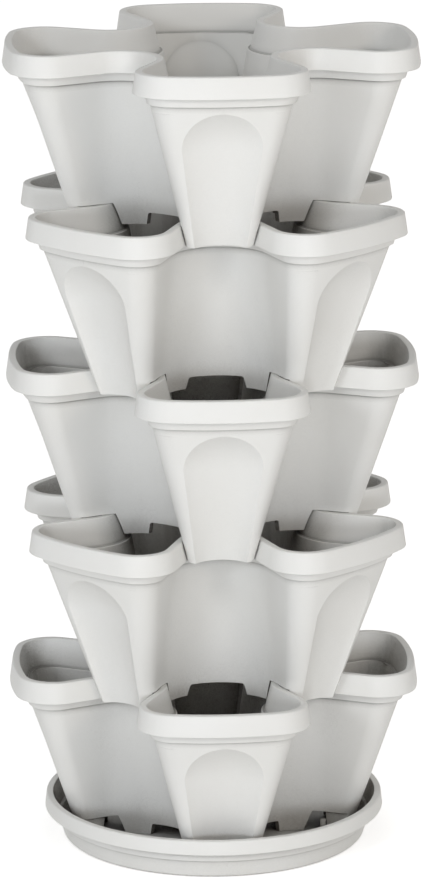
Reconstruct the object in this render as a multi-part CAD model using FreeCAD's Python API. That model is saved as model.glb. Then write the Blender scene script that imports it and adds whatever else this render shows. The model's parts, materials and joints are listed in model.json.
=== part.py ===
"""Stacking planter tower: five four-lobed pots, nested crosswise, in a round saucer.

Millimetres, +Z up. The origin is the middle of the saucer's underside, on the ground.
Every pot is the same moulding. A pot's own frame has its lobes on X and Y and z = 0 at
the lowest edge of its skirt. Each pot stands an eighth of a turn from the one below.
"""
import math
import os

import FreeCAD
import Part

V = FreeCAD.Vector
UP = V(0, 0, 1)

# Two places closer than this count as one
same_place = 0.001

# Tower
tier_count = 5
lobe_count = 4
seat_gap = 0.3

# Pot, heights
pot_height = 133.4
nest_depth = 16.4
band_height = 15.8
shoulder_height = 6.6
lip_thickness = 2.6

# Pot, walls
wall = 2.6
floor_thickness = 2.6
band_wall = 2.1
lip_width = 5.2

# Pot, plan angles: half the end's bow, and a lobe's flare from its neck to its end
end_angle = 10.5
side_angle = 28.0

# Pot, widest outline: the bottom edge of the rim band
band_reach = 152.5
band_corner_radius = 27.0
band_valley_centre = 75.0
band_valley_radius = 27.8

# Pot, how far each edge of the rim stands inside that outline
band_draft = 2.3
shoulder_inset = 10.9
collar_draft = 5.3
mouth_draft = 6.5

# Pot, sloping wall: flat ends and sides, with round corners and valleys between them
wall_top_reach = 135.8
foot_reach = 102.0
wall_corner_radius = 12.3
wall_valley_radius = 42.5
foot_valley_centre = 56.8

# Pot, thumb recess in the end of each lobe
recess_depth = 9.5
recess_top_margin = 4.6
recess_half_width_top = 28.8
recess_half_width_foot = 18.0

# Pot, bottom edge
tab_clearance = 0.9
slot_clearance = 1.2
notch_height = 9.0
notch_half_width_foot = 22.6
notch_half_width_top = 19.8
notch_radius = 1.6

# Pot, drain holes in the floor
centre_drain_radius = 7.0
lobe_drain_radius = 4.0
lobe_drain_reach = 48.0

# Saucer
saucer_height = 32.2
saucer_floor = 2.2
saucer_wall = 2.3
saucer_foot_clearance = 10.6
saucer_flare = 14.4
saucer_band_height = 10.6
saucer_band_draft = 1.2
saucer_band_wall = 2.0
saucer_lip_thickness = 2.3
saucer_shoulder_inset = 8.6
saucer_shoulder_height = 5.7
saucer_shoulder_step = 2.0
saucer_base_fillet = 4.0
saucer_lip_width = 4.8

# Locating pegs on the saucer's floor, one beside each lobe of the bottom pot
peg_setback = 18.7
peg_angle = -12.0
peg_length = 4.2
peg_width = 2.4
peg_height = 9.8

# Worked out from the sizes above
saucer_base_radius = foot_reach + saucer_foot_clearance
saucer_rim_radius = saucer_base_radius + saucer_flare
peg_reach = foot_reach - peg_setback
wall_top = pot_height - band_height - shoulder_height
shoulder_top = pot_height - band_height
tier_pitch = pot_height - nest_depth + seat_gap
first_tier_z = saucer_floor + seat_gap
lobe_turn = 360.0 / lobe_count


class Outline:
    """A four-lobed plan outline, given by one lobe on +X and half of the valley beside it."""

    def __init__(self, reach, corner_radius, valley_centre, valley_radius):
        self.values = (reach, corner_radius, valley_centre, valley_radius)
        self.reach = reach
        self.corner_radius = corner_radius
        self.valley_centre = valley_centre
        self.valley_radius = valley_radius
        side = math.radians(side_angle)
        bow = math.tan(math.radians(end_angle) / 2)
        radii = corner_radius + valley_radius
        straight = reach - corner_radius
        across = valley_centre - radii / math.cos(side)
        slope = math.tan(side)
        self.corner_y = ((straight - valley_centre) * slope + across) / (1 + bow * slope)
        self.corner_x = straight - bow * self.corner_y

    def inset(self, distance):
        """The parallel outline that lies this far inside."""
        reach, corner_radius, valley_centre, valley_radius = self.values
        return Outline(reach - distance, corner_radius - distance,
                       valley_centre, valley_radius + distance)

    def wire(self, z):
        """The closed outline at height z: arcs for ends, corners and valleys, lines between."""
        corner = V(self.corner_x, self.corner_y, z)
        valley = V(self.valley_centre, self.valley_centre, z)
        end_turn = math.radians(end_angle)
        side_turn = math.pi / 2 + math.radians(side_angle)
        end = V(self.corner_x - self.corner_y / math.tan(end_turn), 0, z)
        quarter = [
            arc(end, self.reach - end.x, -end_turn, end_turn),
            arc(corner, self.corner_radius, end_turn, side_turn),
            None,
            arc(valley, self.valley_radius, side_turn + math.pi, 3 * math.pi / 2 - side_turn),
            None,
            arc(V(corner.y, corner.x, z), self.corner_radius,
                math.pi / 2 - side_turn, math.pi / 2 - end_turn),
        ]
        quarter[2] = line_between(quarter[1], quarter[3])
        quarter[4] = line_between(quarter[3], quarter[5])
        edges = []
        for turn in range(lobe_count):
            for edge in quarter:
                edges.append(turned(edge, turn * lobe_turn))
        return Part.Wire(edges)


def arc(centre, radius, start, stop):
    """A horizontal arc from one angle to another, in radians."""
    def at(angle):
        return centre + V(radius * math.cos(angle), radius * math.sin(angle), 0)
    return Part.Arc(at(start), at((start + stop) / 2), at(stop)).toShape()


def line_between(first, second):
    """The straight edge from the end of one edge to the start of the next."""
    return Part.makeLine(first.Vertexes[-1].Point, second.Vertexes[0].Point)


def turned(shape, angle):
    """A copy turned about the tower's axis, in degrees."""
    copy = shape.copy()
    copy.rotate(V(0, 0, 0), UP, angle)
    return copy


def round_copies(shape, turn=lobe_turn):
    """The shape repeated once for each lobe."""
    return [turned(shape, turn * index) for index in range(lobe_count)]


def tapered(lower, lower_z, upper, upper_z):
    """The solid between two outlines at two heights."""
    return Part.makeLoft([lower.wire(lower_z), upper.wire(upper_z)], True, True)


band_outline = Outline(band_reach, band_corner_radius, band_valley_centre, band_valley_radius)
shoulder_outline = band_outline.inset(shoulder_inset)
lip_outline = band_outline.inset(band_draft)
mouth_outline = lip_outline.inset(lip_width)


def wall_reach(z):
    """How far the outside of a lobe's end wall stands from the axis at this height."""
    return foot_reach + (wall_top_reach - foot_reach) * z / wall_top


def tub_corners(inset, z):
    """The square that the four end walls would make if they met."""
    reach = wall_reach(z) - inset
    return [V(reach, -reach, z), V(reach, reach, z), V(-reach, reach, z), V(-reach, -reach, z)]


def valley_corners(inset, z):
    """The wedge between two neighbouring lobes, with its sharp edge at or past the axis."""
    side = math.radians(side_angle)
    centre = foot_valley_centre + (band_valley_centre - foot_valley_centre) * z / wall_top
    edge = centre - (wall_valley_radius + inset) / (math.cos(side) - math.sin(side))
    length = 2 * band_reach
    tip = V(edge, edge, z)
    return [tip, tip + V(length * math.cos(side), length * math.sin(side), 0),
            tip + V(length * math.sin(side), length * math.cos(side), 0)]


def flat_sided(corners, inset, low, high):
    """The flat-sided solid between one polygon's corners at two heights."""
    lower = corners(inset, low)
    upper = corners(inset, high)
    loops = [lower, upper]
    for index in range(len(lower)):
        loops.append([lower[index - 1], lower[index], upper[index], upper[index - 1]])
    faces = [Part.Face(Part.makePolygon(loop + loop[:1])) for loop in loops]
    return Part.makeSolid(Part.makeShell(faces))


def slanted_edges(solid):
    """The edges that run from one height to another."""
    return [edge for edge in solid.Edges
            if abs(edge.Vertexes[0].Z - edge.Vertexes[-1].Z) > same_place]


def reach_of_edge(edge):
    start = edge.Vertexes[0].Point
    return math.hypot(start.x, start.y)


def wall_block(inset, low, high):
    """The sloping wall filled in: a square tub with a round-bottomed valley at each corner."""
    valley = flat_sided(valley_corners, inset, low, high)
    tip_edge = min(slanted_edges(valley), key=reach_of_edge)
    valley = valley.makeFillet(wall_valley_radius + inset, [tip_edge])
    lobes = flat_sided(tub_corners, inset, low, high).cut(round_copies(valley))
    corners = [edge for edge in slanted_edges(lobes) if reach_of_edge(edge) > foot_reach - inset]
    return lobes.makeFillet(wall_corner_radius - inset, corners)


def pot_outside():
    """Wall, shoulder and collar, and the hollow band that hangs round the collar."""
    shoulder = tapered(shoulder_outline, wall_top, shoulder_outline, shoulder_top)
    collar_top = shoulder_outline.inset(-collar_draft)
    collar = tapered(shoulder_outline, shoulder_top, collar_top, pot_height)
    band = tapered(band_outline, shoulder_top, lip_outline, pot_height)
    hollow_edge = lip_outline.inset(band_wall)
    hollow = tapered(hollow_edge, shoulder_top, hollow_edge, pot_height - lip_thickness)
    rim = band.cut(hollow.cut(collar))
    return wall_block(0, 0, wall_top).multiFuse([shoulder, rim])


def pot_inside():
    """The soil space: the sloping wall's inside, a ledge, and the collar's wider inside."""
    ledge_z = wall_top + wall
    soil = wall_block(wall, nest_depth + floor_thickness, ledge_z)
    collar = tapered(mouth_outline.inset(mouth_draft), ledge_z, mouth_outline, pot_height)
    return soil.fuse(collar)


def pot_underside():
    """The space inside the skirt, below the floor."""
    return wall_block(wall, -wall, nest_depth)


def thumb_scoop(growth):
    """A tapered round-ended rod that lies along the end wall of the lobe on +X."""
    slope = math.atan2(wall_reach(wall_top) - foot_reach, wall_top)
    outward = V(math.cos(slope), 0, -math.sin(slope))
    down = V(-math.sin(slope), 0, -math.cos(slope))
    top_z = wall_top - recess_top_margin - recess_half_width_top * math.cos(slope)

    def ball(half_width, z):
        radius = (half_width ** 2 + recess_depth ** 2) / (2 * recess_depth)
        centre = V(wall_reach(z), 0, z) + outward * (radius - recess_depth)
        return centre, radius

    top_centre, top_radius = ball(recess_half_width_top, top_z)
    foot_centre, foot_radius = ball(recess_half_width_foot, 0)
    axis = foot_centre - top_centre
    length = axis.Length
    axis.normalize()
    side = axis.cross(V(0, 1, 0))
    taper = math.asin((top_radius - foot_radius) / length)

    def rim_point(centre, radius):
        reach = radius + growth
        return centre + side * (reach * math.cos(taper)) + axis * (reach * math.sin(taper))

    past_foot = length + 2 * wall
    end_radius = top_radius + (foot_radius - top_radius) * past_foot / length
    end_centre = top_centre + axis * past_foot
    tangent = rim_point(top_centre, top_radius)
    end_rim = rim_point(end_centre, end_radius)
    end_axis = end_centre + axis * ((end_radius + growth) * math.sin(taper))
    pole = top_centre - axis * (top_radius + growth)
    half_way = (math.pi / 2 + taper) / 2
    on_ball = top_centre + (side * math.sin(half_way) - axis * math.cos(half_way)) * (
        top_radius + growth)
    profile = Part.Wire([
        Part.Arc(pole, on_ball, tangent).toShape(),
        Part.makeLine(tangent, end_rim),
        Part.makeLine(end_rim, end_axis),
        Part.makeLine(end_axis, pole),
    ])
    return Part.Face(profile).revolve(top_centre, axis, 360)


def skirt_slot():
    """Clears the skirt for the rim of the pot below, which lies an eighth of a turn away."""
    outer = tapered(band_outline.inset(-slot_clearance), -wall,
                    lip_outline.inset(-slot_clearance), nest_depth)
    inner_top = mouth_outline.inset(tab_clearance)
    inner_foot = inner_top.inset((nest_depth + wall) * wall_slope())
    inner = tapered(inner_foot, -wall, inner_top, nest_depth)
    return turned(outer.cut(inner), lobe_turn / 2)


def wall_slope():
    """How much the wall spreads for each millimetre of height."""
    return (wall_reach(wall_top) - foot_reach) / wall_top


def valley_notch():
    """The rounded trapezoid cut from the skirt in the middle of each valley."""
    low = -wall
    spread = (notch_half_width_foot - notch_half_width_top) / notch_height
    low_half = notch_half_width_foot - spread * low
    corners = [V(0, -low_half, low), V(0, low_half, low),
               V(0, notch_half_width_top, notch_height), V(0, -notch_half_width_top, notch_height)]
    face = Part.Face(Part.makePolygon(corners + corners[:1]))
    notch = face.extrude(V(band_reach / 2, 0, 0))
    upper = [edge for edge in notch.Edges
             if all(abs(vertex.Z - notch_height) < same_place for vertex in edge.Vertexes)
             and abs(edge.Vertexes[0].Y - edge.Vertexes[1].Y) < same_place]
    return turned(notch.makeFillet(notch_radius, upper), lobe_turn / 2)


def drain_holes():
    """A middle hole and one for each lobe, above the soil of the pot below."""
    holes = [Part.makeCylinder(centre_drain_radius, 3 * floor_thickness,
                               V(0, 0, nest_depth - floor_thickness))]
    hole = Part.makeCylinder(lobe_drain_radius, 3 * floor_thickness,
                             V(lobe_drain_reach, 0, nest_depth - floor_thickness))
    return holes + round_copies(hole)


def pot():
    outside = pot_outside().cut(round_copies(thumb_scoop(0)))
    hollows = pot_inside().cut(round_copies(thumb_scoop(wall)))
    under = pot_underside().cut(round_copies(thumb_scoop(wall)))
    shell = outside.cut([hollows, under])
    return shell.cut([skirt_slot()] + round_copies(valley_notch()) + drain_holes())


def ring_profile(points):
    """A closed outline in the XZ plane, turned about Z into a solid."""
    corners = [V(x, 0, z) for x, z in points]
    face = Part.Face(Part.makePolygon(corners + corners[:1]))
    return face.revolve(V(0, 0, 0), UP, 360)


def saucer():
    """A shallow round dish with the pots' hollow rim band, and pegs for the bottom pot."""
    band_z = saucer_height - saucer_band_height
    hollow_z = saucer_height - saucer_lip_thickness
    shoulder_z = band_z - saucer_shoulder_height
    ledge_z = shoulder_z + saucer_wall
    shoulder_radius = saucer_rim_radius - saucer_shoulder_inset
    wall_radius = shoulder_radius - saucer_shoulder_step
    top_radius = saucer_rim_radius - saucer_band_draft
    hollow_radius = top_radius - saucer_band_wall
    mouth_radius = top_radius - saucer_lip_width
    outer = [(0, 0), (saucer_base_radius - saucer_base_fillet, 0),
             (saucer_base_radius, saucer_base_fillet),
             (wall_radius, shoulder_z), (shoulder_radius, shoulder_z),
             (shoulder_radius, band_z), (mouth_radius + saucer_wall / 2, hollow_z),
             (hollow_radius, hollow_z), (hollow_radius, band_z),
             (saucer_rim_radius, band_z), (top_radius, saucer_height)]
    inner = [(mouth_radius, saucer_height), (shoulder_radius - saucer_wall, ledge_z),
             (wall_radius - saucer_wall, ledge_z),
             (saucer_base_radius - saucer_wall, saucer_floor), (0, saucer_floor)]
    dish = ring_profile(outer + inner)
    peg = Part.makeBox(peg_length, peg_width, peg_height,
                       V(peg_reach - peg_length / 2, -peg_width / 2, saucer_floor))
    pegs = [turned(copy, peg_angle) for copy in round_copies(peg)]
    return dish.multiFuse(pegs)


def tier_name(tier):
    return "planter_tier_%d" % tier


def main():
    os.makedirs("parts", exist_ok=True)
    saucer().exportStep("parts/saucer.step")
    moulding = pot()
    for tier in range(tier_count):
        placed = turned(moulding, (tier % 2) * lobe_turn / 2)
        placed.translate(V(0, 0, first_tier_z + tier * tier_pitch))
        placed.exportStep("parts/%s.step" % tier_name(tier + 1))
    print("tower height", round(first_tier_z + (tier_count - 1) * tier_pitch + pot_height, 2))


main()
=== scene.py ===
"""Looks for a stacking planter tower: five four-lobed pots, nested crosswise, in a saucer.

Every pot is one moulding. It is made once, round its own axis with the skirt's lower edge
at zero height, and is then set at each tier, an eighth of a turn from the one below.
"""
import json
import math

import bmesh
import bpy
from mathutils import Matrix, Vector


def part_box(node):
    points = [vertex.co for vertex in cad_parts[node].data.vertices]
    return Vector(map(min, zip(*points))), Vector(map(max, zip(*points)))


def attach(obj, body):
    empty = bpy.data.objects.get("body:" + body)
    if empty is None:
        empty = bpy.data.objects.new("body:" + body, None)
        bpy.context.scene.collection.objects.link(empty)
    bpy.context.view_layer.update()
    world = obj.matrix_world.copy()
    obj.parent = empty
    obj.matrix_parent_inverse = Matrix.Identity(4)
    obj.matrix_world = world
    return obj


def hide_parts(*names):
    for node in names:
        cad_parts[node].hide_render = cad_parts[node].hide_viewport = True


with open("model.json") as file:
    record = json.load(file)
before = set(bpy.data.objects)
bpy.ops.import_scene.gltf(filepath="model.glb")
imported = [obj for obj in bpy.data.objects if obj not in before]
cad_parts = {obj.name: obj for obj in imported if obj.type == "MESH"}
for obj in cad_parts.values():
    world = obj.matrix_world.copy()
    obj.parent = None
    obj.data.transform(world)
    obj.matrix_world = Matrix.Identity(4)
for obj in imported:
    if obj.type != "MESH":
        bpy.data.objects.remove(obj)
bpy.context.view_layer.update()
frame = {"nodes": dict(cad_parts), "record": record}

bl_info = {
    "name": "Stacking Planter Tower",
    "version": (1, 0, 0),
    "blender": (4, 5, 0),
    "location": "View3D > Sidebar > Planter",
    "description": "Builds a tower of four-lobed pots on a saucer, with its finish and its stage",
    "category": "Object",
}

MM = 0.001
LOBES = 4
LOBE_TURN = 2 * math.pi / LOBES
EIGHTH_TURN = LOBE_TURN / 2

# How far a cutter reaches past what it cuts, and the gaps below which points and edges merge
PAST = 1 * MM
DOUBLE = 0.02 * MM
SLIVER = 0.01 * MM

TIERS = [name for name in sorted(frame["nodes"]) if name != "saucer"]
BODY_OF_NODE = {node: body for body, nodes in frame["record"]["behaviour"]["bodies"].items()
                for node in nodes}
POT_LOW, POT_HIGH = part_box(TIERS[0])
SAUCER_LOW, SAUCER_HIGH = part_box("saucer")


def length(name, description, default):
    return bpy.props.FloatProperty(name=name, description=description, default=default,
                                   unit="LENGTH", precision=4, min=0.0)


def angle(name, description, degrees):
    return bpy.props.FloatProperty(name=name, description=description,
                                   default=math.radians(degrees), unit="ROTATION")


def colour(name, description, hex_code):
    return bpy.props.FloatVectorProperty(name=name, description=description, subtype="COLOR",
                                         size=4, min=0.0, max=1.0, default=linear(hex_code))


def linear(hex_code):
    """The linear colour of an sRGB hex code, with full alpha."""
    channels = []
    for start in (1, 3, 5):
        value = int(hex_code[start:start + 2], 16) / 255
        channels.append(value / 12.92 if value <= 0.04045 else ((value + 0.055) / 1.055) ** 2.4)
    return (*channels, 1.0)


class PlanterPotSizes(bpy.types.PropertyGroup):
    """Sizes of the pot moulding."""

    reach: length("Band reach", "Axis to the band's lower edge at the end of a lobe", POT_HIGH.x)
    height: length("Height", "Skirt's lower edge to the lip", POT_HIGH.z - POT_LOW.z)
    nest: length("Nesting depth", "How deep the skirt stands in the pot below", 16.4 * MM)
    wall: length("Wall", "Thickness of the moulding", 2.6 * MM)
    band_height: length("Band height", "Height of the rim band", 15.8 * MM)
    band_draft: length("Band draft", "How far the band leans in towards the lip", 2.3 * MM)
    shoulder_height: length("Shoulder height", "Height of the step below the band", 7.4 * MM)
    shoulder_inset: length("Shoulder inset", "Band's lower edge to the shoulder", 8.3 * MM)
    shoulder_draft: length("Shoulder draft", "How far the shoulder leans in below", 1.9 * MM)
    shoulder_step: length("Shoulder step", "Shoulder's lower edge to the wall", 2.4 * MM)
    corner: length("Lobe corner radius", "Plan radius of a lobe's corners at the band", 28.6 * MM)
    valley: length("Valley radius", "Plan radius between two lobes at the band", 25 * MM)
    valley_centre: length("Valley centre", "Valley arc's centre, along both axes", 71 * MM)
    bow: angle("End bow", "Half the angle of the arc across a lobe's end", 10.5)
    flare: angle("Lobe flare", "How a lobe widens from its neck to its end", 25)
    foot_reach: length("Foot reach", "Axis to the skirt's lower edge", 102 * MM)
    foot_corner: length("Foot corner radius", "Plan radius of a lobe's corners there", 8 * MM)
    foot_valley: length("Foot valley radius", "Plan radius between two lobes there", 47 * MM)
    foot_valley_centre: length("Foot valley centre", "Valley arc's centre there", 62.5 * MM)
    foot_bow: angle("Foot bow", "Half the angle of the arc across a lobe's foot", 3)
    foot_flare: angle("Foot flare", "How a lobe widens from neck to end at the foot", 24)
    lip_radius: length("Lip radius", "Round of the lip's outer edge", 1.3 * MM)
    edge_radius: length("Edge radius", "Round of the moulding's other edges", 0.5 * MM)
    lip_width: length("Lip width", "Width of the lip, round included", 5.2 * MM)
    scoop_depth: length("Scoop depth", "Depth of the thumb scoop in a lobe's end", 9.5 * MM)
    scoop_width: length("Scoop width", "Half width of the scoop at its widest", 28.8 * MM)
    scoop_foot: length("Scoop foot width", "Half width of the scoop at the foot", 18.6 * MM)
    scoop_margin: length("Scoop margin", "Top of the scoop to the shoulder", 5.8 * MM)
    notch_height: length("Notch height", "Height of the notch in each valley", 9 * MM)
    notch_width: length("Notch width", "Half width of the notch at its foot", 22.6 * MM)
    notch_lean: length("Notch lean", "How far each side of the notch leans in", 2.8 * MM)
    notch_round: length("Notch round", "Radius of the notch's upper corners", 1.6 * MM)
    rim_gap: length("Rim gap", "Lobe's foot to the outside of the rim below", 0.8 * MM)
    tab_gap: length("Tab gap", "Skirt to the inside of the rim below", 0.9 * MM)
    tab_lean: length("Tab lean", "How far the skirt's tabs narrow towards the foot", 4 * MM)
    mouth_draft: length("Mouth draft", "How far the mouth narrows down to its ledge", 5 * MM)
    drain: length("Drain radius", "Radius of the middle drain hole", 7 * MM)
    lobe_drain: length("Lobe drain radius", "Radius of each lobe's drain hole", 4 * MM)
    lobe_drain_reach: length("Lobe drain reach", "Axis to a lobe's drain hole", 48 * MM)


class PlanterSaucerSizes(bpy.types.PropertyGroup):
    """Sizes of the drip saucer."""

    radius: length("Rim radius", "Axis to the band's lower edge", SAUCER_HIGH.x)
    height: length("Height", "Ground to the lip", SAUCER_HIGH.z - SAUCER_LOW.z)
    base_radius: length("Base radius", "Axis to the foot of the wall", 112.6 * MM)
    base_round: length("Base round", "Round of the wall's foot", 4 * MM)
    floor: length("Floor", "Thickness of the floor", 2.2 * MM)
    wall: length("Wall", "Thickness of the wall", 2.3 * MM)
    band_height: length("Band height", "Height of the rim band", 10.6 * MM)
    band_draft: length("Band draft", "How far the band leans in towards the lip", 1.2 * MM)
    shoulder_inset: length("Shoulder inset", "Band's lower edge to the shoulder", 8.6 * MM)
    shoulder_height: length("Shoulder height", "Height of the step below the band", 7.4 * MM)
    shoulder_step: length("Shoulder step", "Shoulder's lower edge to the wall", 1.6 * MM)
    edge_radius: length("Edge radius", "Round of the moulding's edges", 0.5 * MM)
    lip_width: length("Lip width", "Width of the lip, round included", 4.8 * MM)
    peg_reach: length("Peg reach", "Axis to a locating peg", 83.3 * MM)
    peg_angle: angle("Peg angle", "Peg's place round from its lobe", -12)
    peg_length: length("Peg length", "Length of a peg, along the lobe", 4.2 * MM)
    peg_width: length("Peg width", "Thickness of a peg", 2.4 * MM)
    peg_height: length("Peg height", "Height of a peg above the floor", 9.8 * MM)


class PlanterFinish(bpy.types.PropertyGroup):
    """Colours of the moulded plastic, and of the shade painted into its creases and insides."""

    body: colour("Body", "Colour of the plastic", "#E5E5E3")
    tint: colour("Cloud", "Colour of its faint clouding", "#DFDEDA")
    # Painted shade: the colour painted into the creases under the band and in the narrow steps,
    # where shadow falls
    seam: colour("Seam", "Colour that gathers under the band and in the narrow steps", "#4E4B45")
    # Painted shade: the dark colour painted into the insides, where little light reaches
    painted_inner_shade: colour("Depth", "Colour that the insides fade to, away from the light", "#42362A")


class PlanterStage(bpy.types.PropertyGroup):
    """The camera's place, the floor and the light."""

    distance: length("Camera distance", "Look-at point to the camera", 4.0778)
    target: length("Look-at height", "Height that the camera looks at", 303.7 * MM)
    azimuth: angle("Azimuth", "Camera's turn round the tower from the front", -3.5)
    elevation: angle("Elevation", "Camera's height angle", 14.61)
    roll: angle("Roll", "Camera's tilt about its own axis", -0.2)
    lens: bpy.props.FloatProperty(name="Lens", description="Focal length", default=225.2,
                                  unit="CAMERA", min=1.0)
    aside: length("Aside", "How far left of the axis the camera aims", 1.1 * MM)
    floor: colour("Floor", "Colour of the floor", "#F6F5F3")
    cool: colour("Key light", "Colour of the key lamp and of the low front one", "#F6FAFF")
    warm: colour("Fill light", "Colour of the lamp on the right", "#FFF3E6")


class Plan:
    """A four-lobed plan outline: the lobes' reach, and the arcs that bound each lobe."""

    FINE_STEPS = 24
    MIDDLE_STEPS = 12
    CORNER_STEPS = 16
    SIDE_STEPS = 2
    VALLEY_STEPS = 22

    def __init__(self, reach, corner, valley, valley_centre, bow, flare):
        self.values = (reach, corner, valley, valley_centre, bow, flare)

    def inset(self, distance):
        reach, corner, valley, valley_centre, bow, flare = self.values
        return Plan(reach - distance, corner - distance, valley + distance,
                    valley_centre, bow, flare)

    def blend(self, other, share):
        return Plan(*[mine + (theirs - mine) * share
                      for mine, theirs in zip(self.values, other.values)])

    def corner_centre(self):
        """The corner arc whose circle meets both the end arc and the flared side."""
        reach, corner, valley, valley_centre, bow, flare = self.values
        rise = math.tan(bow / 2)
        slope = math.tan(flare)
        straight = reach - corner
        across = valley_centre - (corner + valley) / math.cos(flare)
        y = ((straight - valley_centre) * slope + across) / (1 + rise * slope)
        return straight - rise * y, y

    def points(self, crease):
        """The outline's points, anticlockwise from the middle of the lobe on +X.

        One point lies at the crease, this far across the lobe, so that the scoop's edge can
        follow it from ring to ring."""
        reach, corner, valley, valley_centre, bow, flare = self.values
        x, y = self.corner_centre()
        end_x = x - y / math.tan(bow)
        turn = math.pi / 2 + flare
        end = arc(end_x, 0, reach - end_x, 0, bow, self.FINE_STEPS)
        end += arc(x, y, corner, bow, turn, self.FINE_STEPS)[1:]
        middle, rest = parted(end, crease)
        half = spaced(middle, self.MIDDLE_STEPS) + spaced(rest, self.CORNER_STEPS)[1:]
        to_axis = 5 * EIGHTH_TURN
        valley_arc = arc(valley_centre, valley_centre, valley, turn + math.pi, to_axis,
                         self.VALLEY_STEPS // 2)
        half += run(half[-1], valley_arc[0], self.SIDE_STEPS)
        half += valley_arc[1:]
        mirrored = [Vector((point.y, point.x)) for point in half[-2:0:-1]]
        quarter = half + mirrored
        return [turned(point, lobe) for lobe in range(LOBES) for point in quarter]


def arc(x, y, radius, start, stop, steps):
    """Points along an arc, with both its ends."""
    turns = [start + (stop - start) * step / steps for step in range(steps + 1)]
    return [Vector((x + radius * math.cos(turn), y + radius * math.sin(turn))) for turn in turns]


def parted(path, across):
    """A path cut in two where it first reaches this far across."""
    for index, (first, last) in enumerate(zip(path, path[1:])):
        if last.y >= across:
            here = first.lerp(last, (across - first.y) / (last.y - first.y))
            return path[:index + 1] + [here], [here] + path[index + 1:]
    raise ValueError("the crease lies outside the lobe")


def spaced(path, steps):
    """Evenly spaced points along a path, with both its ends."""
    reached = [0.0]
    for first, last in zip(path, path[1:]):
        reached.append(reached[-1] + (last - first).length)
    points = []
    index = 0
    for step in range(steps + 1):
        goal = reached[-1] * step / steps
        while reached[index + 1] < goal and index < len(path) - 2:
            index += 1
        share = (goal - reached[index]) / (reached[index + 1] - reached[index])
        points.append(path[index].lerp(path[index + 1], share))
    return points


def run(first, last, steps):
    """Points after the first, up to and with the last."""
    return [first.lerp(last, (step + 1) / steps) for step in range(steps)]


def turned(point, lobe):
    """The point turned on by this many lobes."""
    return Matrix.Rotation(lobe * LOBE_TURN, 2) @ point


def rounded(path, steps=5):
    """A profile's corners turned into arcs. The path holds (across, up, radius) corners."""
    points = []
    for index, (across, up, radius) in enumerate(path):
        here = Vector((across, up))
        if radius == 0 or index in (0, len(path) - 1):
            points.append(here)
            continue
        back = (Vector(path[index - 1][:2]) - here).normalized()
        ahead = (Vector(path[index + 1][:2]) - here).normalized()
        half_angle = back.angle(ahead) / 2
        middle = (back + ahead).normalized()
        centre = here + middle * (radius / math.sin(half_angle))
        start = math.atan2(*(here + back * (radius / math.tan(half_angle)) - centre).yx)
        sweep = math.copysign(math.pi - 2 * half_angle, back.x * ahead.y - back.y * ahead.x)
        points += arc(centre.x, centre.y, radius, start, start - sweep, steps)
    return points


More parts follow.
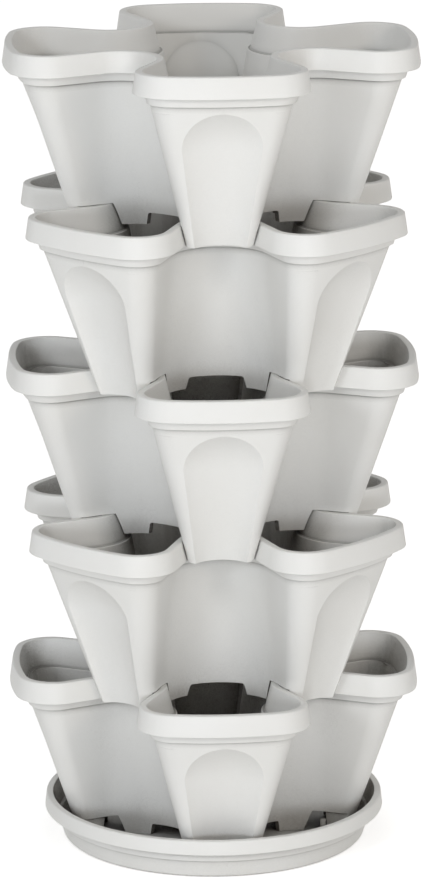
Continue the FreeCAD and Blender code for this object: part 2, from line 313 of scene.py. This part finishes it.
class Pot:
    """The pot's plan outline at each height, and the rings that its moulding is made of."""

    # The mesh: height between rings, rings up the scoop's arch, and how far across a lobe the
    # crease lies, on the rim and at the least
    ROW = 3.0 * MM
    BALL_ROWS = 18
    CREASE = 16 * MM
    NARROWEST = 1.2 * MM

    # Plastic over the band's hollow, beyond half the lip's width
    ROOF = 1.2 * MM
    # How much thinner the band's foot is than the wall
    THINNER = 0.3 * MM
    # Rounds of the band's inner foot and of the mouth's edges
    HOLLOW_ROUND = 0.4 * MM
    MOUTH_ROUND = 0.8 * MM
    # The inner wall's last ring lies this far below the ledge
    LEDGE_STEP = 0.5 * MM

    def __init__(self, sizes):
        self.sizes = sizes
        s = sizes
        self.rim = Plan(s.reach, s.corner, s.valley, s.valley_centre, s.bow, s.flare)
        self.shoulder_top = s.height - s.band_height
        self.wall_top = self.shoulder_top - s.shoulder_height
        self.shoulder_foot = s.shoulder_inset + s.shoulder_draft
        self.wall_inset = self.shoulder_foot + s.shoulder_step
        self.top = self.rim.inset(self.wall_inset)
        self.foot = Plan(s.foot_reach, s.foot_corner, s.foot_valley, s.foot_valley_centre,
                         s.foot_bow, s.foot_flare)
        self.slope = math.atan2(s.reach - self.wall_inset - s.foot_reach, self.wall_top)
        self.ball_rise = s.scoop_width * math.cos(self.slope)
        self.ball_z = self.wall_top - s.scoop_margin - self.ball_rise

    def wall_plan(self, z):
        return self.foot.blend(self.top, z / self.wall_top)

    def scoop_width(self, z):
        """Half the scoop's width at this height: tapered sides under a round arch."""
        s = self.sizes
        if z > self.ball_z + self.ball_rise:
            return 0.0
        if z > self.ball_z:
            above = (z - self.ball_z) / self.ball_rise
            return s.scoop_width * math.sqrt(max(1 - above ** 2, 0.0))
        return s.scoop_foot + (s.scoop_width - s.scoop_foot) * z / self.ball_z

    def scoop(self, across, z):
        """Depth of the thumb scoop at a place on a lobe's end: a tapered, ball-ended dish."""
        s = self.sizes
        width = s.scoop_foot + (s.scoop_width - s.scoop_foot) * min(z / self.ball_z, 1.0)
        radius = (width ** 2 + s.scoop_depth ** 2) / (2 * s.scoop_depth)
        above = max(z - self.ball_z, 0.0) / math.cos(self.slope)
        left = max(radius ** 2 - across ** 2 - above ** 2, 0.0)
        depth = math.sqrt(left) - (radius - s.scoop_depth)
        return max(depth, 0.0) / math.cos(self.slope)

    def ring(self, inset, z):
        """The wall's outline at one height, pushed in where the scoops are.

        Inside the wall a scoop stands higher, by the wall's thickness."""
        crease = max(self.scoop_width(z - inset), self.NARROWEST)
        points = self.wall_plan(z).inset(inset).points(crease)
        result = []
        for index, point in enumerate(points):
            lobe = (index * LOBES + len(points) // 2) // len(points) % LOBES
            local = turned(point, -lobe)
            local.x -= self.scoop(local.y, z - inset)
            result.append(turned(local, lobe))
        return result, z

    def wall_rings(self, inset, low, high):
        """Rings up the sloping wall, closer together where they follow the scoop's arch."""
        arch_foot = self.ball_z + inset
        heights = [low, high]
        for row in range(1, self.BALL_ROWS + 1):
            heights.append(arch_foot + self.ball_rise
                           * math.sin(row / self.BALL_ROWS * math.pi / 2))
        for row in range(math.ceil((arch_foot - low) / self.ROW)):
            heights.append(arch_foot - row * self.ROW)
        return [self.ring(inset, z) for z in sorted(set(heights)) if low <= z <= high]

    def rim_rings(self):
        """Shoulder, hollow band, lip and mouth, from the wall's top round to the ledge."""
        s = self.sizes
        hollow_top = s.height - s.lip_width / 2 - self.ROOF
        up = (hollow_top - self.shoulder_top) / s.band_height
        edge = s.edge_radius
        mouth = s.band_draft + s.lip_width
        ledge = mouth + s.mouth_draft
        ledge_z = self.wall_top + s.wall
        down = (s.height - hollow_top) / (s.height - ledge_z)
        path = [
            (self.wall_inset, self.wall_top, 0),
            (self.shoulder_foot, self.wall_top, edge),
            (s.shoulder_inset, self.shoulder_top, 0),
            (mouth + s.mouth_draft * down - s.wall, hollow_top, 0),
            (s.wall + s.band_draft * up, hollow_top, 0),
            (s.wall - self.THINNER, self.shoulder_top, self.HOLLOW_ROUND),
            (0, self.shoulder_top, edge),
            (s.band_draft, s.height, s.lip_radius),
            (mouth, s.height, self.MOUTH_ROUND),
            (ledge, ledge_z, self.MOUTH_ROUND),
            (self.wall_inset + s.wall * (1 - math.tan(self.slope)), ledge_z, 0),
        ]
        return [(self.rim.inset(inset).points(self.CREASE), z) for inset, z in rounded(path)]

    def rings(self):
        """The whole moulding in one run: under the floor, round the wall and rim, to the soil."""
        s = self.sizes
        inner_top = self.wall_top + s.wall - self.LEDGE_STEP
        rings = self.wall_rings(s.wall, 0, s.nest)[::-1]
        rings += self.wall_rings(0, 0, self.wall_top)
        rings += self.rim_rings()
        rings += self.wall_rings(s.wall, s.nest + s.wall, inner_top)[::-1]
        return rings

    def under_rim(self, inset, lean, high):
        """The space inside an outline of the rim below, down past the skirt's edge."""
        low = -2 * PAST
        foot = inset + lean * (1 - low / self.sizes.nest)
        return [(self.rim.inset(foot).points(self.CREASE), low),
                (self.rim.inset(inset).points(self.CREASE), high)]


def solid_of_rings(name, rings):
    """A closed solid: an edge loop, drawn out from ring to ring, with a face at each end."""
    bm = bmesh.new()
    points, z = rings[0]
    loop = [bm.verts.new((point.x, point.y, z)) for point in points]
    edges = [bm.edges.new((loop[index - 1], loop[index])) for index in range(len(loop))]
    bmesh.ops.contextual_create(bm, geom=edges)
    for points, z in rings[1:]:
        drawn = bmesh.ops.extrude_edge_only(bm, edges=edges)["geom"]
        edges = [item for item in drawn if isinstance(item, bmesh.types.BMEdge)]
        new = {vert for edge in edges for vert in edge.verts}
        loop = [joined(vert, new) for vert in loop]
        for vert, point in zip(loop, points):
            vert.co = (point.x, point.y, z)
    bmesh.ops.contextual_create(bm, geom=edges)
    bmesh.ops.recalc_face_normals(bm, faces=bm.faces)
    return finished(name, bm)


def joined(vert, others):
    """The one of the others that an edge joins to this point."""
    return next(edge.other_vert(vert) for edge in vert.link_edges
                if edge.other_vert(vert) in others)


def finished(name, bm):
    """A linked object made from a bmesh, which is freed."""
    mesh = bpy.data.meshes.new(name)
    bm.to_mesh(mesh)
    bm.free()
    obj = bpy.data.objects.new(name, mesh)
    bpy.context.scene.collection.objects.link(obj)
    return obj


def block(low, high):
    """A box between two corners, as a bmesh."""
    bm = bmesh.new()
    cube = bmesh.ops.create_cube(bm, size=1.0)["verts"]
    size = Vector(high) - Vector(low)
    bmesh.ops.scale(bm, vec=size, verts=cube)
    bmesh.ops.translate(bm, vec=(Vector(low) + Vector(high)) / 2, verts=cube)
    return bm


def cut(obj, cutter):
    """Takes the cutter out of the object, and removes the cutter."""
    modifier = obj.modifiers.new("Cut", "BOOLEAN")
    modifier.operation = "DIFFERENCE"
    modifier.solver = "EXACT"
    modifier.object = cutter
    graph = bpy.context.evaluated_depsgraph_get()
    mesh = bpy.data.meshes.new_from_object(obj.evaluated_get(graph))
    obj.modifiers.clear()
    old = obj.data
    obj.data = mesh
    mesh.name = obj.name
    bpy.data.meshes.remove(old)
    bpy.data.meshes.remove(cutter.data)


def spread(obj):
    """Repeats an object's mesh once for each lobe."""
    bm = bmesh.new()
    bm.from_mesh(obj.data)
    source = bm.verts[:] + bm.edges[:] + bm.faces[:]
    for lobe in range(1, LOBES):
        copy = bmesh.ops.duplicate(bm, geom=source)["geom"]
        verts = [item for item in copy if isinstance(item, bmesh.types.BMVert)]
        bmesh.ops.rotate(bm, cent=(0, 0, 0), matrix=Matrix.Rotation(lobe * LOBE_TURN, 3, "Z"),
                         verts=verts)
    bm.to_mesh(obj.data)
    bm.free()


def slot_cutter(pot):
    """The ring that the rim below stands in: it parts the skirt either side of each lobe."""
    s = pot.sizes
    inner = s.band_draft + s.lip_width + s.tab_gap
    slot = solid_of_rings("slot", pot.under_rim(s.band_draft - s.rim_gap, -s.band_draft, s.nest))
    cut(slot, solid_of_rings("rim space", pot.under_rim(inner, s.tab_lean, s.nest + PAST)))
    slot.data.transform(Matrix.Rotation(EIGHTH_TURN, 4, "Z"))
    return slot


def notch_cutter(pot):
    """The rounded trapezoid in the middle of each valley's skirt."""
    s = pot.sizes
    # The valley's skirt lies between these distances from the axis
    near, far = 20 * MM, 90 * MM
    bm = block((near, -s.notch_width, -PAST), (far, s.notch_width, s.notch_height))
    top = [vert for vert in bm.verts if vert.co.z > 0]
    lean = (s.notch_width - s.notch_lean) / s.notch_width
    bmesh.ops.scale(bm, vec=(1, lean, 1), verts=top)
    ridges = [edge for edge in bm.edges if all(vert in top for vert in edge.verts)
              and abs(edge.verts[0].co.y - edge.verts[1].co.y) < MM]
    bmesh.ops.bevel(bm, geom=ridges, offset=s.notch_round, offset_type="OFFSET",
                    affect="EDGES", segments=4, profile=0.5, material=-1)
    notches = finished("notches", bm)
    notches.data.transform(Matrix.Rotation(EIGHTH_TURN, 4, "Z"))
    spread(notches)
    return notches


def hole_cutter(pot):
    """The drain holes through the floor."""
    s = pot.sizes
    bm = bmesh.new()
    sides = 40
    through = 4 * s.wall
    holes = [(0, s.drain)] + [(s.lobe_drain_reach, s.lobe_drain)] * LOBES
    for index, (reach, radius) in enumerate(holes):
        place = Matrix.Rotation(index * LOBE_TURN, 4, "Z")
        place @= Matrix.Translation((reach, 0, s.nest + s.wall / 2))
        bmesh.ops.create_cone(bm, cap_ends=True, segments=sides, radius1=radius, radius2=radius,
                              depth=through, matrix=place)
    return finished("holes", bm)


def shade(obj, limit=math.radians(28)):
    """Smooth shading, with creases kept at the moulding's sharp edges."""
    for polygon in obj.data.polygons:
        polygon.use_smooth = True
    obj.data.set_sharp_from_angle(angle=limit)


def clean(obj):
    """Merges doubled points, and makes sure that every face points outwards."""
    bm = bmesh.new()
    bm.from_mesh(obj.data)
    bmesh.ops.remove_doubles(bm, verts=bm.verts, dist=DOUBLE)
    bmesh.ops.dissolve_degenerate(bm, edges=bm.edges, dist=SLIVER)
    bmesh.ops.recalc_face_normals(bm, faces=bm.faces)
    wide = [face for face in bm.faces if len(face.verts) > 4]
    bmesh.ops.triangulate(bm, faces=wide)
    bm.to_mesh(obj.data)
    bm.free()


def node(tree, kind, settings=None, links=None):
    """Adds a node, with its settings and its links."""
    made = tree.nodes.new(kind)
    for key, value in (settings or {}).items():
        if isinstance(key, str) and hasattr(made, key):
            setattr(made, key, value)
        else:
            made.inputs[key].default_value = value
    for key, source in (links or {}).items():
        tree.links.new(source, made.inputs[key])
    return made


def polypropylene(finish):
    """Moulded polypropylene, matt grained in the tool: a soft, broad sheen, never a mirror."""
    material = bpy.data.materials.get("Moulded polypropylene")
    if material:
        return material
    material = bpy.data.materials.new("Moulded polypropylene")
    material.use_nodes = True
    tree = material.node_tree
    tree.nodes.clear()
    place = node(tree, "ShaderNodeTexCoord").outputs["Object"]

    # Faint clouding where the melt flowed
    cloud_width = 60 * MM
    cloud = node(tree, "ShaderNodeTexNoise", {"Scale": 1 / cloud_width, "Detail": 3.0}, {
        "Vector": place})
    body = node(tree, "ShaderNodeMix", {
        "data_type": "RGBA", "A": finish.body, "B": finish.tint}, {
        "Factor": cloud.outputs["Fac"]})

    # Painted shade: fine dark lines painted under the band and at the shoulder's foot, where
    # shadow falls, then darkness painted into the pots' insides, where little light reaches. Each
    # row holds how near a wall has to be, whether only the piece's own walls count, how open a
    # place is where the painted shade is full and where it has gone, and the tone of the painted
    # shade
    painted_shades = [
        # Painted shade in the narrow creases and steps
        (6 * MM, True, 0.62, 0.95, finish.seam),
        # Painted shade in the insides of the pots
        (220 * MM, False, 0.03, 0.15, finish.painted_inner_shade),
    ]
    shaded = body
    for reach, own, full, gone, tone in painted_shades:
        shelter = node(tree, "ShaderNodeAmbientOcclusion", {
            "samples": 8, "only_local": own, "Distance": reach})
        share = node(tree, "ShaderNodeMapRange", {
            "From Min": full, "From Max": gone, "To Min": 1.0, "To Max": 0.0}, {
            "Value": shelter.outputs["AO"]})
        shaded = node(tree, "ShaderNodeMix", {"data_type": "RGBA", "B": tone}, {
            "Factor": share.outputs["Result"], "A": shaded.outputs["Result"]})

    # Tool grain, 0.35 mm on the real pot, drawn coarser so that it can show
    grain_width = 0.9 * MM
    grain = node(tree, "ShaderNodeTexNoise", {"Scale": 1 / grain_width, "Detail": 2.0}, {
        "Vector": place})
    relief = node(tree, "ShaderNodeBump", {"Strength": 0.08, "Distance": 0.1 * MM}, {
        "Height": grain.outputs["Fac"]})
    sheen = node(tree, "ShaderNodeMapRange", {"To Min": 0.46, "To Max": 0.56}, {
        "Value": cloud.outputs["Fac"]})
    shader = node(tree, "ShaderNodeBsdfPrincipled", {"IOR": 1.49, "Specular IOR Level": 0.4}, {
        "Base Color": shaded.outputs["Result"], "Roughness": sheen.outputs["Result"],
        "Normal": relief.outputs["Normal"]})
    node(tree, "ShaderNodeOutputMaterial", links={"Surface": shader.outputs["BSDF"]})
    return material


class PLANTER_OT_pots(bpy.types.Operator):
    """Model the pot once and set a copy at each tier"""

    bl_idname = "planter.pots"
    bl_label = "Build Pots"

    def execute(self, context):
        pot = Pot(context.scene.planter_pot)
        master = solid_of_rings("pot", pot.rings())
        for cutter in (slot_cutter(pot), notch_cutter(pot), hole_cutter(pot)):
            cut(master, cutter)
        clean(master)
        shade(master)
        master.data.materials.append(polypropylene(context.scene.planter_finish))
        for tier, name in enumerate(TIERS):
            mesh = master.data.copy()
            place = Matrix.Translation((0, 0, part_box(name)[0].z))
            mesh.transform(place @ Matrix.Rotation(tier % 2 * EIGHTH_TURN, 4, "Z"))
            piece = bpy.data.objects.new("pot_" + name, mesh)
            context.scene.collection.objects.link(piece)
            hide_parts(name)
            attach(piece, BODY_OF_NODE[name])
        bpy.data.meshes.remove(master.data)
        return {"FINISHED"}


class PLANTER_OT_saucer(bpy.types.Operator):
    """Model the round drip saucer and its locating pegs"""

    bl_idname = "planter.saucer"
    bl_label = "Build Saucer"

    # Rounds of the lip's two edges, of the ledge behind the shoulder and of a peg's edges
    LIP_ROUND = 1.3 * MM
    MOUTH_ROUND = 0.8 * MM
    LEDGE_ROUND = 1.5 * MM
    LEDGE_FOOT_ROUND = 1.2 * MM
    PEG_ROUND = 0.5 * MM
    ROUND_STEPS = 6
    TURN_STEPS = 180

    def execute(self, context):
        s = context.scene.planter_saucer
        band_z = s.height - s.band_height
        shoulder_z = band_z - s.shoulder_height
        shoulder = s.radius - s.shoulder_inset
        wall = shoulder - s.shoulder_step
        lip = s.radius - s.band_draft
        hollow_z = s.height - s.wall
        inner = s.base_radius - s.wall
        edge = s.edge_radius
        path = [
            (0, 0, 0), (s.base_radius, 0, s.base_round), (wall, shoulder_z, 0),
            (shoulder, shoulder_z, edge), (shoulder, band_z, 0),
            (lip - s.lip_width + s.wall / 2, hollow_z, 0), (lip - s.wall, hollow_z, 0),
            (lip - s.wall, band_z, 0), (s.radius, band_z, edge),
            (lip, s.height, self.LIP_ROUND),
            (lip - s.lip_width, s.height, self.MOUTH_ROUND),
            (shoulder - s.wall, shoulder_z + s.wall, self.LEDGE_ROUND),
            (wall - s.wall, shoulder_z + s.wall, self.LEDGE_FOOT_ROUND),
            (inner, s.floor, s.base_round - s.wall / 2), (0, s.floor, 0),
        ]
        bm = bmesh.new()
        chain = [bm.verts.new((across, 0, up)) for across, up in rounded(path, self.ROUND_STEPS)]
        edges = [bm.edges.new(pair) for pair in zip(chain, chain[1:])]
        bmesh.ops.spin(bm, geom=chain + edges, cent=(0, 0, 0), axis=(0, 0, 1),
                       angle=2 * math.pi, steps=self.TURN_STEPS, use_merge=True)
        bmesh.ops.remove_doubles(bm, verts=bm.verts, dist=SLIVER)
        bmesh.ops.recalc_face_normals(bm, faces=bm.faces)
        dish = finished("drip_saucer", bm)
        pegs = self.pegs(s)
        bm = bmesh.new()
        bm.from_mesh(dish.data)
        bm.from_mesh(pegs.data)
        bm.to_mesh(dish.data)
        bm.free()
        bpy.data.meshes.remove(pegs.data)
        shade(dish)
        dish.data.materials.append(polypropylene(context.scene.planter_finish))
        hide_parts("saucer")
        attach(dish, BODY_OF_NODE["saucer"])
        return {"FINISHED"}

    def pegs(self, s):
        """The small locating pegs on the floor, one beside each lobe of the bottom pot."""
        half = Vector((s.peg_length / 2, s.peg_width / 2))
        bm = block((s.peg_reach - half.x, -half.y, s.floor / 2),
                   (s.peg_reach + half.x, half.y, s.floor + s.peg_height))
        bmesh.ops.rotate(bm, cent=(0, 0, 0), matrix=Matrix.Rotation(s.peg_angle, 3, "Z"),
                         verts=bm.verts)
        bmesh.ops.bevel(bm, geom=bm.edges[:], offset=self.PEG_ROUND, offset_type="OFFSET",
                        affect="EDGES", segments=2, profile=0.5, material=-1)
        pegs = finished("pegs", bm)
        spread(pegs)
        return pegs


class PLANTER_OT_stage(bpy.types.Operator):
    """Set up the floor, the studio light and the camera"""

    bl_idname = "planter.stage"
    bl_label = "Build Stage"

    # Half the floor's side in metres, and how much of its white the floor gives by itself
    FLOOR_REACH = 12
    FLOOR_GLOW = 0.56

    # The world's light at the horizon and higher up, and the rise at which it is full
    LOW_LIGHT = 0.47
    HIGH_LIGHT = 0.55
    FULL_RISE = 0.7

    # Height in metres that the lamps aim at, and the width in millimetres that the lens is for
    AIM_HEIGHT = 0.3
    SENSOR_WIDTH = 36

    def execute(self, context):
        stage = context.scene.planter_stage
        context.scene.view_settings.view_transform = "Standard"
        self.floor(stage)
        self.world(context.scene)
        self.lamps(context, stage)
        self.camera(context.scene, stage)
        return {"FINISHED"}

    def floor(self, stage):
        """A pale floor, white to the camera and in reflections, that keeps a faint shadow."""
        bm = bmesh.new()
        bmesh.ops.create_grid(bm, x_segments=1, y_segments=1, size=self.FLOOR_REACH)
        floor = finished("floor", bm)
        material = bpy.data.materials.new("Painted studio floor")
        material.use_nodes = True
        tree = material.node_tree
        tree.nodes.clear()
        ray = node(tree, "ShaderNodeLightPath")
        shown = node(tree, "ShaderNodeMath", {"operation": "MAXIMUM"}, {
            0: ray.outputs["Is Camera Ray"], 1: ray.outputs["Is Glossy Ray"]})
        lift = node(tree, "ShaderNodeMath", {"operation": "MULTIPLY", 1: self.FLOOR_GLOW}, {
            0: shown.outputs[0]})
        paint = node(tree, "ShaderNodeBsdfDiffuse", {"Color": stage.floor})
        glow = node(tree, "ShaderNodeEmission", links={"Strength": lift.outputs[0]})
        both = node(tree, "ShaderNodeAddShader", links={
            0: paint.outputs[0], 1: glow.outputs[0]})
        node(tree, "ShaderNodeOutputMaterial", links={"Surface": both.outputs[0]})
        floor.data.materials.append(material)

    def world(self, scene):
        """White to the camera. The light it gives is soft, and grows a little with height."""
        world = bpy.data.worlds.new("Studio")
        scene.world = world
        world.use_nodes = True
        tree = world.node_tree
        tree.nodes.clear()
        ray = node(tree, "ShaderNodeLightPath")
        shown = node(tree, "ShaderNodeMath", {"operation": "MAXIMUM"}, {
            0: ray.outputs["Is Camera Ray"], 1: ray.outputs["Is Transmission Ray"]})
        direction = node(tree, "ShaderNodeTexCoord").outputs["Generated"]
        rise = node(tree, "ShaderNodeSeparateXYZ", links={0: direction})
        level = node(tree, "ShaderNodeMapRange", {
            "From Min": 0.0, "From Max": self.FULL_RISE, "To Min": self.LOW_LIGHT,
            "To Max": self.HIGH_LIGHT}, {
            "Value": rise.outputs["Z"]})
        white = node(tree, "ShaderNodeBackground", {"Color": (1, 1, 1, 1), "Strength": 1.0})
        soft = node(tree, "ShaderNodeBackground", {"Color": (1, 1, 1, 1)}, {
            "Strength": level.outputs["Result"]})
        mix = node(tree, "ShaderNodeMixShader", links={
            0: shown.outputs[0], 1: soft.outputs[0], 2: white.outputs[0]})
        node(tree, "ShaderNodeOutputWorld", links={"Surface": mix.outputs[0]})

    def lamps(self, context, stage):
        """The key on the left and the fill on the right, high up, and a low lamp in front."""
        # Name, place and width in metres, power in watts, colour
        lamps = [
            ("key", (-2.04, -3.02, 1.7), 0.8, 27.0, stage.cool),
            ("fill", (1.82, -3.15, 1.7), 0.8, 17.0, stage.warm),
            ("front", (-0.22, -3.7, 0.5), 0.6, 34.0, stage.cool),
        ]
        for name, place, width, power, tint in lamps:
            lamp = bpy.data.lights.new(name, "AREA")
            lamp.shape = "DISK"
            lamp.size = width
            lamp.energy = power
            lamp.color = tint[:3]
            obj = bpy.data.objects.new(name, lamp)
            obj.location = place
            aim = Vector((0, 0, self.AIM_HEIGHT)) - Vector(place)
            obj.rotation_euler = aim.to_track_quat("-Z", "Y").to_euler()
            context.scene.collection.objects.link(obj)

    def camera(self, scene, stage):
        """The camera at the photograph's viewing angle."""
        lens = bpy.data.cameras.new("camera")
        lens.lens = stage.lens
        lens.sensor_width = self.SENSOR_WIDTH
        camera = bpy.data.objects.new("camera", lens)
        azimuth, elevation = stage.azimuth, stage.elevation
        back = Vector((math.sin(azimuth) * math.cos(elevation),
                       -math.cos(azimuth) * math.cos(elevation), math.sin(elevation)))
        right = Vector((math.cos(azimuth), math.sin(azimuth), 0))
        target = Vector((0, 0, stage.target)) - right * stage.aside
        turn = back.to_track_quat("Z", "Y").to_matrix() @ Matrix.Rotation(stage.roll, 3, "Z")
        camera.matrix_world = Matrix.Translation(target + back * stage.distance) @ turn.to_4x4()
        scene.collection.objects.link(camera)
        scene.camera = camera


class PLANTER_PT_panel(bpy.types.Panel):
    """Sizes, colours and the build buttons"""

    bl_label = "Planter Tower"
    bl_space_type = "VIEW_3D"
    bl_region_type = "UI"
    bl_category = "Planter"

    def draw(self, context):
        for group in (context.scene.planter_pot, context.scene.planter_saucer,
                      context.scene.planter_finish, context.scene.planter_stage):
            column = self.layout.column(align=True)
            for key in group.bl_rna.properties.keys():
                if key not in ("rna_type", "name"):
                    column.prop(group, key)
        for operator in (PLANTER_OT_pots, PLANTER_OT_saucer, PLANTER_OT_stage):
            self.layout.operator(operator.bl_idname)


GROUPS = {
    "planter_pot": PlanterPotSizes,
    "planter_saucer": PlanterSaucerSizes,
    "planter_finish": PlanterFinish,
    "planter_stage": PlanterStage,
}
CLASSES = [*GROUPS.values(), PLANTER_OT_pots, PLANTER_OT_saucer, PLANTER_OT_stage,
           PLANTER_PT_panel]


def register():
    for item in CLASSES:
        bpy.utils.register_class(item)
    for name, group in GROUPS.items():
        setattr(bpy.types.Scene, name, bpy.props.PointerProperty(type=group))


def unregister():
    for name in GROUPS:
        delattr(bpy.types.Scene, name)
    for item in reversed(CLASSES):
        bpy.utils.unregister_class(item)


def main():
    register()
    bpy.ops.planter.pots()
    bpy.ops.planter.saucer()
    bpy.ops.planter.stage()


if __name__ == "__main__":
    main()
